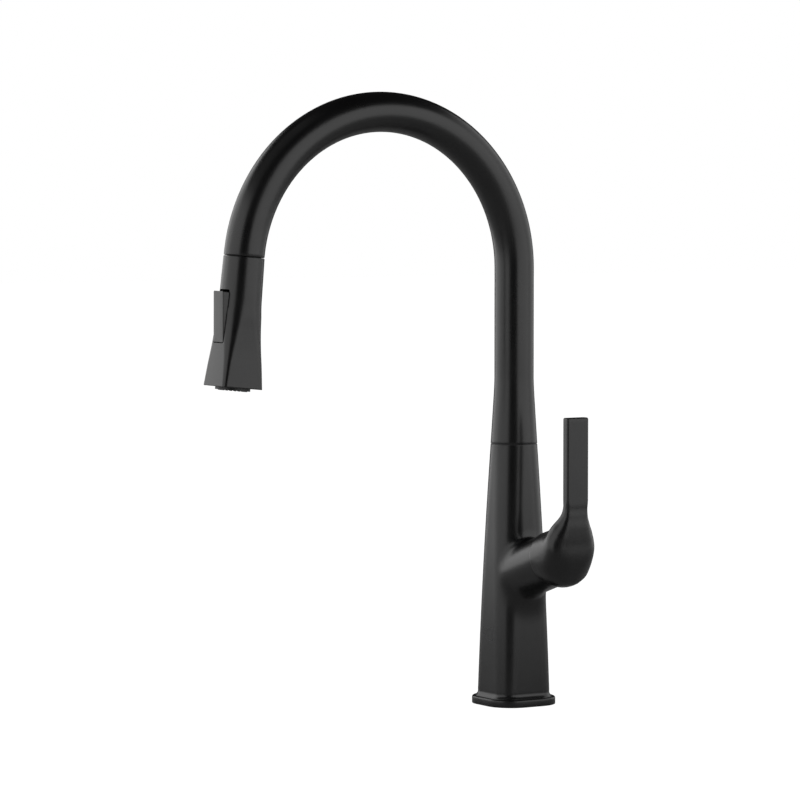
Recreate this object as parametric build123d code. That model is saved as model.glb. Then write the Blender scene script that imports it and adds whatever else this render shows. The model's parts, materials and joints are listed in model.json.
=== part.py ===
from build123d import *
from math import cos, pi, radians, sin, sqrt
import os

# Pull-down kitchen faucet, millimetres. Origin: centre of the base's underside, on the deck.
# +Z is up, the spout reaches towards -Y and the handle stands on the +X side.

# ---- driving dimensions ----
BASE_SIDE = 53.6          # side of the squared base plate
BASE_CORNER = 19.0
BASE_HEIGHT = 5.5
SEAM_Z = 186.0            # where the spout meets the body
TUBE_R = 14.0             # outside of the round spout
TUBE_WALL = 1.4
ARCH_R = 110.4            # centre line of the arch
SPRING_Z = 311.0          # height where the arch starts
ARCH_SWEEP = 174.2        # degrees of arch
HOSE_R = 5.5
HOSE_CHANNEL_R = 6.3
SHANK_R = 16.5
SHANK_BORE_R = 14.6
SHANK_LOW = -62.0
SHANK_PILOT_R = 16.1       # plain end below the thread, which leads the nut on
SHANK_PILOT_TOP = -52.0
DECK_THICKNESS = 30.0     # counter that the nut is run up to
POST_R = 10.4
SOCKET_R = 11.6           # bore of the spout's socket
HUB_TILT = 18.0           # the handle's axis above the horizontal
HUB_Z = 90.8              # where that axis meets the body's axis
HUB_SEAM = 54.05          # seam of the handle, along the tilted axis
BOSS_R = 19.2
HANDLE_R = 20.0
PIVOT = 46.05             # tilting centre of the handle, along the tilted axis
CAVITY_R = 20.89          # round cavity in the handle, about the tilting centre
DOME_R = 20.5
CARTRIDGE_R = 14.0
CUP_R = 17.0
LEVER_THICK = 6.6
LEVER_WIDTH = 18.0
LEVER_TOP = 208.7
WAND_LENGTH = 90.0
NOZZLE_DISC_R = 12.1
GAP = 0.03                # fitted surfaces of one body
RUN = 0.05                # running fit
CLEAR = 0.3               # free space between moving bodies

# ---- frames ----
TIP = 180.0 - ARCH_SWEEP  # the spray head's axis leans out by this angle
SPOUT_END_Y = -ARCH_R - ARCH_R * cos(radians(TIP))
SPOUT_END_Z = SPRING_Z + ARCH_R * sin(radians(TIP))
HUB = Plane(
    origin=(0, 0, HUB_Z),
    x_dir=(0, 1, 0),
    z_dir=(cos(radians(HUB_TILT)), 0, sin(radians(HUB_TILT))),
)
WAND = Plane(
    origin=(0, SPOUT_END_Y, SPOUT_END_Z),
    x_dir=(1, 0, 0),
    z_dir=(0, -sin(radians(TIP)), -cos(radians(TIP))),
)

os.makedirs("parts", exist_ok=True)


# ---- helpers ----
def save(name, shape):
    shape.label = name
    export_step(shape, "parts/" + name + ".step")


def on_hub(shape):
    return HUB.location * shape


def on_wand(shape):
    return WAND.location * shape


def rod(radius, low, high, x=0.0, y=0.0):
    return Pos(x, y, (low + high) / 2) * Cylinder(radius, high - low)


def ring(outer, inner, low, high):
    return rod(outer, low, high) - rod(inner, low - 1, high + 1)


def cone(low_r, high_r, low, high):
    return Pos(0, 0, (low + high) / 2) * Cone(low_r, high_r, high - low)


def squircle(z, flat, corner):
    """Rounded square across the axis: half length of its flats, and its corner radius."""
    side = 2 * (flat + corner)
    return Pos(0, 0, z) * RectangleRounded(side, side, corner)


def squared_loft(sections, inset=0.0):
    """Smooth form through rounded squares, drawn in by a wall where one is given."""
    faces = []
    for z, flat, corner in sections:
        half = flat + corner - inset
        tight = min(max(corner - inset, 1.0), half - 0.3)
        faces.append(squircle(z, half - tight, tight))
    return loft(faces)


def section_at(sections, z):
    """The rounded square between two listed ones."""
    for low, high in zip(sections, sections[1:]):
        if low[0] <= z <= high[0]:
            part = (z - low[0]) / (high[0] - low[0])
            return (z, low[1] + part * (high[1] - low[1]), low[2] + part * (high[2] - low[2]))
    raise ValueError("no section at this height")


def hollow_form(sections, low, high, wall):
    """The space inside a wall, between two heights."""
    inner = [section_at(sections, low)]
    inner += [row for row in sections if low < row[0] < high]
    inner.append(section_at(sections, high))
    return squared_loft(inner, wall)


def polygon_ring(profile):
    """Solid of revolution about Z from (radius, height) corners."""
    face = Plane.XZ * make_face(Polyline([(r, z) for r, z in profile], close=True))
    return revolve(face, Axis.Z)


# ---- base and mounting ----
def make_base_plate():
    plate = extrude(RectangleRounded(BASE_SIDE, BASE_SIDE, BASE_CORNER), BASE_HEIGHT)
    plate = fillet(plate.faces().sort_by(Axis.Z)[-1].edges(), 1.2)
    plate -= rod(SHANK_R + 0.5, -1, BASE_HEIGHT + 1)
    return plate - ring(22.0, 18.4, -1, 1.5)


def make_deck_gasket():
    return ring(22.0 - GAP, 18.4 + GAP, 0, 1.5 - GAP)


BODY_SECTIONS = [
    (8.6, 9.9, 11.8),
    (36.0, 8.4, 13.0),
    (62.0, 7.0, 13.85),
    (96.0, 5.1, 14.86),
    (131.0, 3.1, 15.73),
    (157.0, 1.6, 16.2),
    (174.0, 0.7, 16.4),
    (SEAM_Z - 0.35, 0.3, 16.3),
]
BODY_WALL = 3.0
BODY_FOOT = [
    (BASE_HEIGHT, 9.9, 14.0),
    (6.1, 9.9, 12.9),
    (7.1, 9.9, 12.1),
    (8.6, 9.9, 11.8),
]
BOSS_ROOT = 38.0          # the boss is a plain cylinder from here out
# Boss sections along the tilted axis: distance, height above and below the axis.
BOSS_SECTIONS = [
    (6.0, 25.0, 27.0),
    (15.0, 24.2, 25.4),
    (20.0, 22.2, 23.2),
    (25.0, 20.4, 21.4),
    (31.0, 19.4, 19.9),
    (BOSS_ROOT, BOSS_R + 0.05, BOSS_R + 0.05),
]


def boss_section(along, above, below):
    """Egg-shaped closed curve across the tilted axis."""
    points = []
    for step in range(16):
        turn = radians(step * 22.5)
        height = above if sin(turn) >= 0 else below
        points.append(((BOSS_R + 0.05) * cos(turn), height * sin(turn)))
    return Pos(0, 0, along) * make_face(Spline(*points, periodic=True))


def boss_nose():
    """Cylinder whose end follows a ball about the handle's tilting centre."""
    ball = CAVITY_R - CLEAR
    profile = [(0, 30.0), (BOSS_R, 30.0)]
    for step in range(5):
        radius = BOSS_R - 0.5 * step
        profile.append((radius, PIVOT + sqrt(ball ** 2 - radius ** 2)))
    profile.append((0, profile[-1][1]))
    return polygon_ring(profile)


def make_body_shell():
    shell = squared_loft(BODY_SECTIONS) + squared_loft(BODY_FOOT)
    shell += on_hub(loft([boss_section(*row) for row in BOSS_SECTIONS]))
    shell += on_hub(boss_nose())
    shell -= hollow_form(BODY_SECTIONS, 22.0, 60.0, BODY_WALL)
    shell -= rod(SHANK_R + GAP, 0, 30)
    shell -= rod(14.1, 20, SEAM_Z + 1)
    shell -= on_hub(rod(CUP_R + GAP, 0, 43.0))
    shell -= on_hub(rod(17.25, 42.0, HUB_SEAM + 10))
    return shell


def make_shank():
    pilot = rod(SHANK_PILOT_R, SHANK_LOW, SHANK_PILOT_TOP)
    pilot = chamfer(pilot.edges().group_by(Axis.Z)[0], 0.5)
    tube = pilot + rod(SHANK_R, SHANK_PILOT_TOP, 18.0)
    return tube - rod(SHANK_BORE_R, SHANK_LOW - 1, 19.0)


def make_deck_rubber_washer():
    return ring(27.0, SHANK_R + CLEAR, -DECK_THICKNESS - 2.0, -DECK_THICKNESS)


def make_deck_steel_washer():
    return ring(27.0, SHANK_R + CLEAR, -DECK_THICKNESS - 4.0, -DECK_THICKNESS - 2.0)


NUT_TOP = -DECK_THICKNESS - 6.0
NUT_LOW = NUT_TOP - 11.0
SCREW_CIRCLE = 22.0


def make_mounting_nut():
    nut = Pos(0, 0, NUT_LOW) * extrude(RegularPolygon(27.0, 6), NUT_TOP - NUT_LOW)
    nut &= rod(26.4, NUT_LOW, NUT_TOP)
    nut -= rod(SHANK_R + GAP, NUT_LOW - 1, NUT_TOP + 1)
    for side in (-1, 1):
        nut -= rod(2.5 + GAP, NUT_LOW - 1, NUT_TOP + 1, x=side * SCREW_CIRCLE)
    return nut


def make_lock_screws():
    screws = Part()
    for side in (-1, 1):
        x = side * SCREW_CIRCLE
        shaft = rod(2.5, NUT_LOW, -DECK_THICKNESS - 4.0, x=x)
        head = rod(3.9, NUT_LOW - 4.0, NUT_LOW, x=x)
        slot = Pos(x, 0, NUT_LOW - 4.0) * Box(9, 1.2, 2.4)
        screws += shaft + head - slot
    return screws


# ---- waterway and spout bearing ----
CORE_R = 14.05
PORT_CIRCLE = 10.8
PORT_ANGLES = (-48.0, 0.0, 48.0)   # cold, outlet, hot
PORT_R = 3.5
CUP_BACK = 15.0


def make_waterway_core():
    core = rod(SHANK_R - 0.1, 18.0, 24.0) + rod(CORE_R, 24.0, 150.0)
    core -= rod(HOSE_CHANNEL_R, 10, 160)
    core -= on_hub(rod(CUP_R + GAP, CUP_BACK, 60))
    for angle in PORT_ANGLES:
        x = PORT_CIRCLE * cos(radians(angle))
        y = PORT_CIRCLE * sin(radians(angle))
        core -= rod(PORT_R, 17, 28, x, y)
        core -= rod(2.4, 27, 90, x, y)
        core -= on_hub(rod(2.0, 9, CUP_BACK + 1, x=y * 0.9))
    return core


def make_spout_post():
    post = rod(CORE_R, 150.0, SEAM_Z - 1.0) + rod(POST_R, SEAM_Z - 1.0, 243.0)
    post -= ring(POST_R + 1, POST_R - 1.0, 238.9, 240.1)
    for low in (190.0, 226.0):
        post -= ring(POST_R + 1, POST_R - 0.6, low, low + 8.0)
    return post - rod(7.4, 149, 245)


def make_bush(low):
    return ring(SOCKET_R - RUN, POST_R - 0.6 + GAP, low + GAP, low + 8.0 - GAP)


def make_glide_ring():
    return ring(16.3, POST_R + GAP, SEAM_Z - 0.35, SEAM_Z + 0.3) - rod(CORE_R, 180, SEAM_Z - 0.35)


def make_retaining_ring():
    clip = ring(SOCKET_R + 0.6, POST_R - 1.0 + GAP, 238.9 + GAP, 240.1 - GAP)
    return clip - Pos(0, 8, 239.5) * Box(5, 14, 4)


# ---- cartridge, along the tilted axis ----
HOUSING_TOP = 50.0
SEAT = 18.0
DISC_THICK = 3.2
ROTOR_LOW = 34.6
STEM_ARM = 13.0
BALL_R = 2.3
DISC_REST = -2.5          # the moving disc's rest offset below the tilted axis


def make_cartridge_cup():
    cup = rod(CUP_R, CUP_BACK, 42.0) - rod(CARTRIDGE_R + GAP, SEAT, 60)
    for x in (-7.2, 0, 7.2):
        cup -= rod(2.0, 10, 30, x=x)
    return on_hub(cup)


def make_port_seals():
    low = SEAT + 0.05
    seals = Part()
    for x in (-7.2, 0, 7.2):
        seals += rod(3.0, low, low + 1.5, x=x) - rod(2.0, low - 1, low + 3, x=x)
    return on_hub(seals)


def make_cartridge_seal():
    return on_hub(ring(12.6, 11.4, SEAT + 0.05, SEAT + 1.55))


def make_cartridge_housing():
    wall = rod(CARTRIDGE_R, SEAT + 0.02, HOUSING_TOP) - rod(12.8, SEAT + 3.6, HOUSING_TOP - 2.0)
    wall -= rod(9.0, HOUSING_TOP - 4, HOUSING_TOP + 1)
    wall -= ring(12.6 + GAP, 11.4 - GAP, SEAT - 1, SEAT + 1.6)
    for x in (-7.2, 0, 7.2):
        wall -= rod(3.0 + GAP, SEAT - 1, SEAT + 1.6, x=x)
        wall -= rod(2.0, SEAT, SEAT + 5, x=x)
    return on_hub(wall)


def make_fixed_disc():
    low = SEAT + 3.6
    disc = rod(12.7, low + GAP, low + DISC_THICK)
    for x in (-6.4, 0, 6.4):
        disc -= rod(1.8, low - 1, low + 9, x=x)
    return on_hub(disc)


MOVING_LOW = SEAT + 3.6 + DISC_THICK + 0.02


def make_moving_disc():
    disc = rod(9.4, MOVING_LOW, MOVING_LOW + 3.0, y=DISC_REST)
    disc -= Pos(0, DISC_REST, MOVING_LOW) * Box(9.0, 6.0, 2.4)
    return on_hub(disc)


def make_disc_carrier():
    low = MOVING_LOW + 3.02
    body = rod(9.2, low, PIVOT - STEM_ARM + 1.0, y=DISC_REST)
    return on_hub(body - rod(BALL_R + CLEAR, low + 0.8, PIVOT))


def make_cartridge_rotor():
    body = rod(12.7, ROTOR_LOW + 0.2, HOUSING_TOP - 2.0 - RUN) + rod(9.0 - RUN, 40, HOUSING_TOP + 1.0)
    body -= Box(9.4, 19.0, 200)
    body -= Pos(0, 0, PIVOT) * Rot(0, 90, 0) * Cylinder(1.5 + RUN, 60)
    return on_hub(body)


def make_stem_pin():
    return on_hub(Pos(0, 0, PIVOT) * Rot(0, 90, 0) * Cylinder(1.5, 17.4))


def make_cartridge_nut():
    nut = rod(17.2, 42.02, 45.0) + rod(15.6, 44.0, HOUSING_TOP + 1.4)
    nut -= rod(CARTRIDGE_R + GAP, 40, HOUSING_TOP + GAP)
    return on_hub(nut - rod(12.0, 40, 60))


def make_bonnet_ring():
    dome = rod(17.15, 45.1, 70) & (Pos(0, 0, PIVOT) * Sphere(DOME_R))
    dome -= rod(15.8, 40, 56.6)
    dome -= Pos(0, 0, PIVOT) * Sphere(19.0) & rod(30, 56.6, 80)
    return on_hub(dome - rod(13.0, 40, 80))


# ---- handle ----
FAN_START = 69.75         # straight part of the hub ends here
FAN_INNER = 22.0          # inner curve between hub and lever
FAN_HEIGHT = 41.6         # centre of that curve, above the tilted axis
# Straight sections: distance, height above and below the axis, corner radius.
HUB_SECTIONS = [
    (HUB_SEAM, 20.0, 20.0, 19.8),
    (58.0, 19.8, 21.2, 19.6),
    (62.0, 19.6, 22.3, 19.5),
    (66.0, 19.6, 22.5, 19.4),
]
# Curved sections: angle turned, outer distance from the curve's centre, half width, corner radius.
FAN_SECTIONS = [
    (0.0, 63.3, 19.9, 19.0),
    (12.0, 53.2, 19.3, 15.6),
    (24.0, 41.9, 16.2, 9.9),
    (36.0, 35.35, 12.3, 6.2),
    (48.0, 31.3, 9.9, 4.2),
    (60.0, 29.2, 9.1, 2.7),
    (90.0 - HUB_TILT, FAN_INNER + LEVER_THICK, LEVER_WIDTH / 2, 1.6),
]


def hub_section(along, above, below, corner):
    face = RectangleRounded(2 * HANDLE_R, above + below, corner)
    return Pos(0, (above - below) / 2, along) * face


def fan_section(angle, outer, half_width, corner):
    turn = radians(angle)
    middle = (FAN_INNER + outer) / 2
    plane = Plane(
        origin=(0, FAN_HEIGHT - middle * cos(turn), FAN_START + middle * sin(turn)),
        x_dir=(1, 0, 0),
        z_dir=(0, sin(turn), cos(turn)),
    )
    return plane * RectangleRounded(2 * half_width, outer - FAN_INNER, corner)


def make_handle():
    sections = [hub_section(*row) for row in HUB_SECTIONS]
    sections += [fan_section(*row) for row in FAN_SECTIONS]
    grip = loft(sections)
    end = fan_section(*FAN_SECTIONS[-1])
    start_z = (HUB.location * end).center().Z
    grip += extrude(end, LEVER_TOP - start_z)
    tip = grip.faces().sort_by(Axis((0, 0, 0), (0, cos(radians(HUB_TILT)), sin(radians(HUB_TILT)))))[-1]
    grip = fillet(tip.edges(), 1.0)
    grip -= Pos(0, 0, PIVOT) * Sphere(CAVITY_R)
    grip -= Pos(0, 0, 72) * Box(8 + 2 * GAP, 8 + 2 * GAP, 13)
    grip -= Pos(10, 0, 72) * Rot(0, 90, 0) * Cylinder(2.5 + GAP, 20)
    grip -= Pos(20, 0, 72) * Rot(0, 90, 0) * Cylinder(3.5 + GAP, 6.0)
    return on_hub(grip)


STEM_SIDE = 8.0
STEM_TOP = 78.0


def make_handle_stem():
    square = Pos(0, 0, (41.5 + STEM_TOP) / 2) * Box(STEM_SIDE, STEM_SIDE, STEM_TOP - 41.5)
    square &= rod(5.2, 41.5, STEM_TOP)
    square -= Pos(0, 0, PIVOT) * Rot(0, 90, 0) * Cylinder(1.5 + RUN, 40)
    neck = rod(1.7, PIVOT - STEM_ARM, 41.5)
    ball = Pos(0, 0, PIVOT - STEM_ARM) * Sphere(BALL_R)
    return on_hub(square + neck + ball)


def make_set_screw():
    screw = Pos(8.5, 0, 72) * Rot(0, 90, 0) * Cylinder(2.5, 8.9)
    socket = Pos(12.5, 0, 72) * Rot(0, 90, 0) * extrude(RegularPolygon(1.4, 6), 2, both=True)
    return on_hub(screw - socket)


def make_screw_plug():
    return on_hub(Pos(18.2, 0, 72) * Rot(0, 90, 0) * Cylinder(3.5, 2.3))


# ---- spout ----
FLARE = [
    (234.0, 14.0),
    (222.0, 14.35),
    (208.0, 15.15),
    (197.0, 15.95),
    (SEAM_Z + 0.35, 16.65),
]


def arch_path(start_z, end_run):
    riser = Line((0, 0, start_z), (0, 0, SPRING_Z))
    centre = Plane(origin=(0, -ARCH_R, SPRING_Z), x_dir=(0, 1, 0), z_dir=(1, 0, 0))
    arch = centre * CenterArc((0, 0), ARCH_R, 0, ARCH_SWEEP)
    if end_run <= 0:
        return Wire([riser, arch])
    lean = radians(TIP)
    end = Vector(0, SPOUT_END_Y, SPOUT_END_Z)
    tail = Line(end, end + Vector(0, -sin(lean), -cos(lean)) * end_run)
    return Wire([riser, arch, tail])


def make_spout_tube():
    low, high = FLARE[-1][0], FLARE[0][0]
    outer = sweep(Pos(0, 0, high) * Circle(TUBE_R), path=arch_path(high, 0))
    inner = sweep(Pos(0, 0, high) * Circle(TUBE_R - TUBE_WALL), path=arch_path(high, 0))
    flare = Plane.XZ * make_face([
        Spline(*[(r, z) for z, r in FLARE], tangents=[(0, -1), (0.05, -1)]),
        Polyline([(FLARE[-1][1], low), (0, low), (0, high), (TUBE_R, high)]),
    ])
    foot = revolve(flare, Axis.Z) - rod(TUBE_R - TUBE_WALL, low - 1, high + 1)
    return (outer - inner) + foot


def make_spout_socket():
    return ring(TUBE_R - TUBE_WALL - GAP, SOCKET_R, SEAM_Z + 0.35, 238.3)


COLLAR_TOP = -13.0
MAGNET_TOP = -19.0
MAGNET_R = 10.0
MAGNET_BORE_R = 8.0


def make_dock_collar():
    outer = rod(TUBE_R - TUBE_WALL - 0.1, -4.0, -0.6) + cone(10.8, 12.4, MAGNET_TOP, -4.0)
    outer -= cone(10.4, 11.9, COLLAR_TOP, -0.59)
    outer -= rod(MAGNET_R + GAP, MAGNET_TOP - 1, COLLAR_TOP - 1.0)
    return on_wand(outer - rod(MAGNET_BORE_R, -40, 5))


def make_dock_magnet():
    return on_wand(ring(MAGNET_R, MAGNET_BORE_R, MAGNET_TOP, COLLAR_TOP - 1.0 - GAP))


HOSE_LOW = -70.0
HOSE_TAIL = 8.0


def make_spray_hose():
    return sweep(Pos(0, 0, HOSE_LOW) * Circle(HOSE_R), path=arch_path(HOSE_LOW, HOSE_TAIL))


def make_hose_connector():
    body = ring(6.8, HOSE_R + GAP, HOSE_LOW - 2.0, HOSE_LOW + 14.0)
    body += ring(7.1, 3.0, HOSE_LOW - 8.0, HOSE_LOW - 2.0)
    return body + ring(5.0, 3.0, HOSE_LOW - 24.0, HOSE_LOW - 8.0)


def make_hose_ferrule():
    sleeve = ring(6.8, HOSE_R + 0.12, -4.0, HOSE_TAIL + GAP)
    return on_wand(sleeve + ring(6.8, 3.0, HOSE_TAIL + GAP, HOSE_TAIL + 1.5))


def make_hose_nipple():
    low = HOSE_TAIL + 1.5 + GAP
    body = ring(6.0, 3.0, low, 21.5) + ring(8.2, 3.0, 12.5, 15.5)
    return on_wand(body - ring(7.0, 5.0, 18.2, 20.0))


# ---- spray head, along its own axis from the spout's end ----
WAND_TOP = 0.4
WAND_ROUND = [            # upper, round part
    (WAND_TOP, 0.3, 13.7),
    (26.0, 0.5, 13.95),
]
WAND_SECTIONS = [         # lower part, growing square
    WAND_ROUND[-1],
    (33.0, 1.0, 13.45),
    (41.0, 2.35, 12.2),
    (49.0, 4.0, 10.35),
    (57.0, 5.85, 8.45),
    (65.5, 8.05, 6.35),
    (74.0, 9.95, 4.85),
    (82.0, 11.25, 3.95),
    (WAND_LENGTH, 12.3, 3.35),
]
WAND_WALL = 1.6
SHELL_ROOF = 9.0          # thickness of the solid top of the shell
NECK_R = 11.35
NECK_BORE_R = 7.1
CORE_TOP = 17.0
CORE_STEP = 62.0
CORE_LOW = 78.0
FACE_TOP = 84.5
FACE_LOW = 88.3
DISC_LOW = 91.9
NOZZLE_CIRCLE = 9.3
NOZZLE_COUNT = 20
BUTTON_WIDTH = 13.4
BUTTON_CORNER = 0.9
BUTTON_TOP = 25.1
BUTTON_LOW = 60.1
BUTTON_FRONT_TOP = 18.0   # front of the button from the head's axis, at its two ends
BUTTON_FRONT_LOW = 14.6
PIN_S = 57.2
PIN_Y = 11.4
PIN_R = 1.0
PLUNGER_S = 36.0
PLUNGER_R = 2.5


def front_slot(margin, low, high):
    """Rounded slot through the front wall, with the button's outline plus a margin."""
    face = RectangleRounded(BUTTON_WIDTH + 2 * margin, high - low, BUTTON_CORNER + margin)
    plane = Plane(origin=(0, 6.0, (low + high) / 2), x_dir=(1, 0, 0), z_dir=(0, 1, 0))
    return extrude(plane * face, 20)


def make_wand_shell():
    shell = squared_loft(WAND_ROUND) + squared_loft(WAND_SECTIONS)
    shell -= hollow_form(WAND_ROUND, SHELL_ROOF, WAND_ROUND[-1][0], WAND_WALL)
    mouth = (WAND_LENGTH + 1, 12.45, 3.25)
    shell -= squared_loft(WAND_SECTIONS + [mouth], WAND_WALL)
    shell -= rod(10.5 + GAP, 0, 20)
    for side in (-1, 1):
        shell += Pos(side * 8.5, 11.0, PIN_S) * Box(2.4, 4.4, 6.0)
    shell -= front_slot(0.35, BUTTON_TOP - 1.5, BUTTON_LOW + 0.4)
    return on_wand(shell - Pos(0, PIN_Y, PIN_S) * Rot(0, 90, 0) * Cylinder(PIN_R + GAP, 18.2))


def make_wand_neck():
    neck = cone(9.9, NECK_R, -11.2, -0.3) + rod(NECK_R, -0.3, WAND_TOP - GAP)
    neck += rod(10.5, WAND_TOP - GAP, 21.5)
    neck -= rod(NECK_BORE_R, -20, 30)
    neck -= rod(8.6, 12.2, 30)
    return on_wand(neck)


def make_neck_ring():
    return on_wand(ring(9.6, 7.6, -12.6, -11.2 - GAP))


def make_nipple_seal():
    return on_wand(ring(6.22, 5.0 + GAP, 18.2 + GAP, 20.0 - GAP))


def make_wand_core():
    core = rod(8.4, CORE_TOP, CORE_STEP) + rod(9.5, CORE_STEP, CORE_LOW)
    core += rod(11.4, CORE_LOW - 2.0, CORE_LOW)
    core -= rod(6.3, 10, 24) + rod(5.5, 20, 32) + rod(4.0, 30, 90)
    bore = Pos(0, 2.0, PLUNGER_S) * Rot(90, 0, 0) * Cylinder(PLUNGER_R + RUN, 16.0)
    return on_wand(core - bore)


def make_strainer():
    plate = rod(6.25, 22.0, 23.4)
    for turn in range(8):
        x, y = 3.6 * cos(turn * pi / 4), 3.6 * sin(turn * pi / 4)
        plate -= rod(1.0, 20, 25, x, y)
    return on_wand(plate - rod(1.2, 20, 25))


def make_check_valve():
    return on_wand(ring(5.45, 3.4, 24.05, 31.5) + ring(3.4, 1.2, 26.0, 28.0))


def make_face_plate():
    side = 27.4
    plate = Pos(0, 0, FACE_TOP) * extrude(RectangleRounded(side, side, 2.2), FACE_LOW - FACE_TOP)
    return on_wand(plate - rod(11.0 + GAP, 80, 90))


def nozzle_places():
    places = []
    for index in range(NOZZLE_COUNT):
        turn = 2 * pi * index / NOZZLE_COUNT
        places.append((NOZZLE_CIRCLE * cos(turn), NOZZLE_CIRCLE * sin(turn)))
    return places


def make_nozzle_disc():
    disc = rod(11.0, CORE_LOW + GAP, FACE_LOW) + rod(NOZZLE_DISC_R, FACE_LOW + GAP, DISC_LOW)
    disc += rod(11.0, FACE_LOW - 0.1, FACE_LOW + 0.1)
    disc -= rod(7.6, 70, 95) + ring(10.5, 8.1, CORE_LOW + 2, 87.5)
    for x, y in nozzle_places():
        disc -= rod(0.8, 80, 95, x, y)
    return on_wand(disc)


def make_spray_nozzles():
    nozzles = ring(10.45, 8.15, 86.4, 87.45)
    for x, y in nozzle_places():
        nozzles += rod(0.77, 87.0, DISC_LOW + 0.4, x, y)
        nozzles -= rod(0.35, 80, 95, x, y)
    return on_wand(nozzles)


def make_aerator():
    sleeve = ring(7.55, 6.5, CORE_LOW + 0.5, DISC_LOW - 0.4)
    return on_wand(sleeve + ring(7.0, 2.0, CORE_LOW + 2, CORE_LOW + 4))


def make_aerator_screen():
    screen = ring(6.47, 5.9, 88.2, 89.3)
    for radius in (1.2, 2.7, 4.2):
        screen += ring(radius + 0.35, radius - 0.35, 88.4, 89.1)
    for turn in range(0, 180, 30):
        screen += Rot(0, 0, turn) * Pos(0, 0, 88.75) * Box(12.4, 0.6, 0.7)
    return on_wand(screen)


def make_button_pin():
    return on_wand(Pos(0, PIN_Y, PIN_S) * Rot(0, 90, 0) * Cylinder(PIN_R, 17.0))


def make_spray_button():
    side_view = Polyline([
        (BUTTON_FRONT_TOP, BUTTON_TOP),
        (BUTTON_FRONT_LOW, BUTTON_LOW),
        (12.3, BUTTON_LOW),
        (12.3, PIN_S - 6.0),
        (12.6, BUTTON_TOP),
    ], close=True)
    plane = Plane(origin=(-BUTTON_WIDTH / 2, 0, 0), x_dir=(0, 1, 0), z_dir=(1, 0, 0))
    button = extrude(plane * make_face(side_view), BUTTON_WIDTH)
    button &= front_slot(0.0, BUTTON_TOP, BUTTON_LOW)
    button = fillet(button.faces().sort_by(Axis.Y)[-1].edges(), 0.5)
    button += Pos(0, PIN_Y, PIN_S) * Rot(0, 90, 0) * Cylinder(2.2, 12.0)
    return on_wand(button - Pos(0, PIN_Y, PIN_S) * Rot(0, 90, 0) * Cylinder(PIN_R + RUN, 20))


def across(radius, low, high):
    """Rod along the head's front direction at the plunger."""
    return Pos(0, (low + high) / 2, PLUNGER_S) * Rot(90, 0, 0) * Cylinder(radius, high - low)


def make_plunger():
    rod_body = across(PLUNGER_R, 0.6, 12.2)
    groove = across(PLUNGER_R + 1, 4.0, 5.2) - across(1.8, 3, 6)
    return on_wand(rod_body - groove)


def make_plunger_seal():
    return on_wand(across(PLUNGER_R, 4.0 + GAP, 5.2 - GAP) - across(1.8 + GAP, 3, 6))


def make_plunger_spring():
    return on_wand(across(2.3, -5.9, 0.55) - across(1.8, -7, 2))


NODES = {
    "base_plate": make_base_plate,
    "deck_gasket": make_deck_gasket,
    "body_shell": make_body_shell,
    "shank": make_shank,
    "deck_rubber_washer": make_deck_rubber_washer,
    "deck_steel_washer": make_deck_steel_washer,
    "mounting_nut": make_mounting_nut,
    "lock_screws": make_lock_screws,
    "waterway_core": make_waterway_core,
    "spout_post": make_spout_post,
    "lower_bush": lambda: make_bush(190.0),
    "upper_bush": lambda: make_bush(226.0),
    "glide_ring": make_glide_ring,
    "retaining_ring": make_retaining_ring,
    "cartridge_cup": make_cartridge_cup,
    "port_seals": make_port_seals,
    "cartridge_seal": make_cartridge_seal,
    "cartridge_housing": make_cartridge_housing,
    "fixed_disc": make_fixed_disc,
    "cartridge_nut": make_cartridge_nut,
    "bonnet_ring": make_bonnet_ring,
    "cartridge_rotor": make_cartridge_rotor,
    "stem_pin": make_stem_pin,
    "moving_disc": make_moving_disc,
    "disc_carrier": make_disc_carrier,
    "handle": make_handle,
    "handle_stem": make_handle_stem,
    "set_screw": make_set_screw,
    "screw_plug": make_screw_plug,
    "spout_tube": make_spout_tube,
    "spout_socket": make_spout_socket,
    "dock_collar": make_dock_collar,
    "dock_magnet": make_dock_magnet,
    "spray_hose": make_spray_hose,
    "hose_connector": make_hose_connector,
    "hose_ferrule": make_hose_ferrule,
    "hose_nipple": make_hose_nipple,
    "nipple_seal": make_nipple_seal,
    "wand_shell": make_wand_shell,
    "wand_neck": make_wand_neck,
    "neck_ring": make_neck_ring,
    "wand_core": make_wand_core,
    "strainer": make_strainer,
    "check_valve": make_check_valve,
    "face_plate": make_face_plate,
    "nozzle_disc": make_nozzle_disc,
    "spray_nozzles": make_spray_nozzles,
    "aerator": make_aerator,
    "aerator_screen": make_aerator_screen,
    "button_pin": make_button_pin,
    "spray_button": make_spray_button,
    "plunger": make_plunger,
    "plunger_seal": make_plunger_seal,
    "plunger_spring": make_plunger_spring,
}

for node_name, make in NODES.items():
    save(node_name, make())
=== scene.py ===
"""Looks of the pull-down kitchen faucet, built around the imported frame.

Lengths are in metres, or in millimetres where a comment or a docstring says so.
"""
import json
from math import cos, exp, pi, radians, sin

import bmesh
import bpy
import numpy as np
from mathutils import Matrix, Vector


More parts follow.
